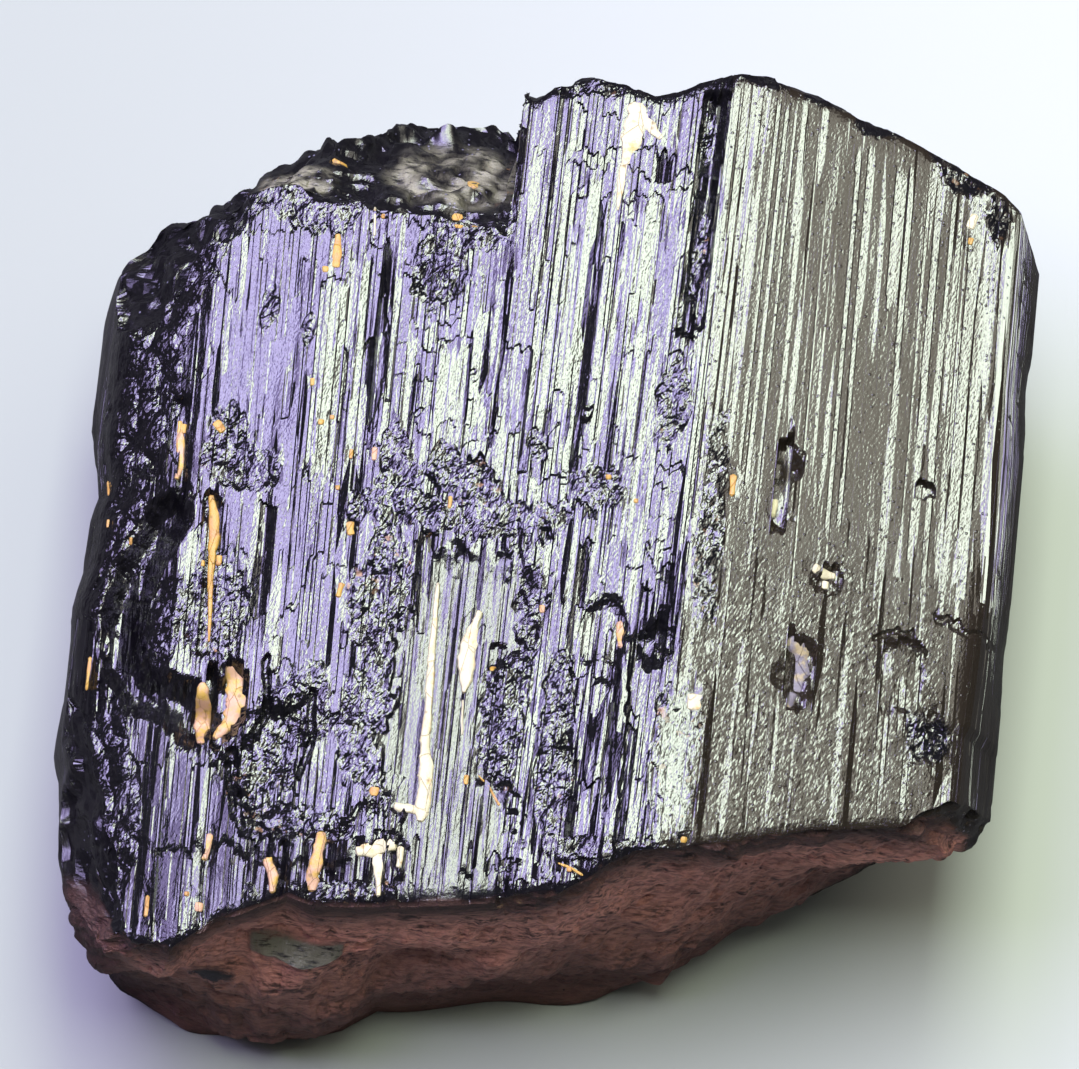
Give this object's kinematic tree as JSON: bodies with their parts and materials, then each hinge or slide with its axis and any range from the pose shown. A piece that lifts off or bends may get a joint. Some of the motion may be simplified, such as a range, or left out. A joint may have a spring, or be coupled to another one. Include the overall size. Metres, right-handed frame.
{
  "type": "black tourmaline crystal",
  "caption": "Stout broken black tourmaline (schorl) crystal, strongly striated and pitted, with cream, orange and pink feldspar in its grooves.",
  "frame": {"origin": "a point near the middle of the flat back that the crystal rests on", "axes": "+Z out of the striated face, +Y up the crystal's long axis, +X to the right of the face"},
  "size_m": [0.0898, 0.0935, 0.0479],
  "materials": {
    "schorl": "black and glassy on the striated faces, matt reddish brown on the broken lower end",
    "feldspar_cream": "cream-white, satin, slightly stained",
    "feldspar_orange": "orange iron-stained, satin",
    "feldspar_pink": "pink, satin, with yellow spots",
    "feldspar_tan": "tan to grey-violet, satin"
  },
  "bodies": {
    "root": {"schorl_crystal": "schorl", "feldspar_wedge_top": "feldspar_cream", "feldspar_sliver_long": "feldspar_cream", "feldspar_sliver_short": "feldspar_cream", "feldspar_seam_left": "feldspar_orange", "feldspar_plate_left": "feldspar_pink", "feldspar_sliver_upper_left": "feldspar_orange", "feldspar_grain_right": "feldspar_tan", "feldspar_row_left": "feldspar_pink", "feldspar_row_middle": "feldspar_pink", "feldspar_row_right": "feldspar_cream"}
  },
  "joints": []
}
